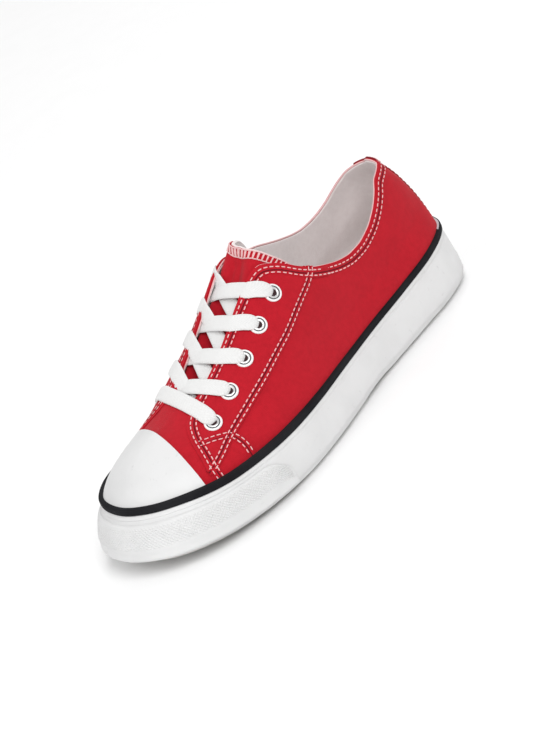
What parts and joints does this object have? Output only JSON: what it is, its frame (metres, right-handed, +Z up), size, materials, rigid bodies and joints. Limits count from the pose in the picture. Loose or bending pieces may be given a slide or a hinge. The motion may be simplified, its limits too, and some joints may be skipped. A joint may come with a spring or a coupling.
{
  "type": "canvas sneaker",
  "caption": "Low canvas sneaker for the left foot: hollow woven upper with open collar and throat, tongue, flat laces, rubber toe cap, foxed rubber sole with a dark stripe.",
  "frame": {"origin": "bottom centre of the shoe's box, on the plane that heel and forefoot stand on", "axes": "+X towards the toe, +Y towards the outer (lateral) side of the left foot, +Z up"},
  "size_m": [0.2736, 0.1003, 0.1003],
  "materials": {
    "canvas": "plain-weave cotton canvas, matt, red",
    "tongue_canvas": "plain-weave cotton canvas, matt, red, white lining",
    "lining_cloth": "brushed cotton lining, off-white",
    "foxing_rubber": "vulcanised white rubber, satin",
    "tread_rubber": "moulded white rubber tread, satin",
    "bumper_rubber": "white rubber with a fine pressed diamond pattern",
    "stripe_rubber": "black rubber stripe, satin",
    "cap_rubber": "smooth white rubber, low gloss",
    "eyelet_metal": "polished metal ring in a white washer",
    "lace_cotton": "flat woven cotton lace, white"
  },
  "bodies": {
    "root": {"outsole": "tread_rubber", "midsole": "foxing_rubber", "pinstripe": "stripe_rubber", "toe_bumper": "bumper_rubber", "insole": "lining_cloth", "upper": "canvas", "tongue": "tongue_canvas", "toe_cap": "cap_rubber", "eyelet_lateral_5": "eyelet_metal", "eyelet_lateral_4": "eyelet_metal", "eyelet_lateral_3": "eyelet_metal", "eyelet_lateral_2": "eyelet_metal", "eyelet_lateral_1": "eyelet_metal", "eyelet_medial_5": "eyelet_metal", "eyelet_medial_4": "eyelet_metal", "eyelet_medial_3": "eyelet_metal", "eyelet_medial_2": "eyelet_metal", "eyelet_medial_1": "eyelet_metal", "lace_bar": "lace_cotton", "lace_cross_2": "lace_cotton", "lace_cross_3": "lace_cotton", "lace_cross_4": "lace_cotton", "lace_cross_5": "lace_cotton"}
  },
  "joints": []
}
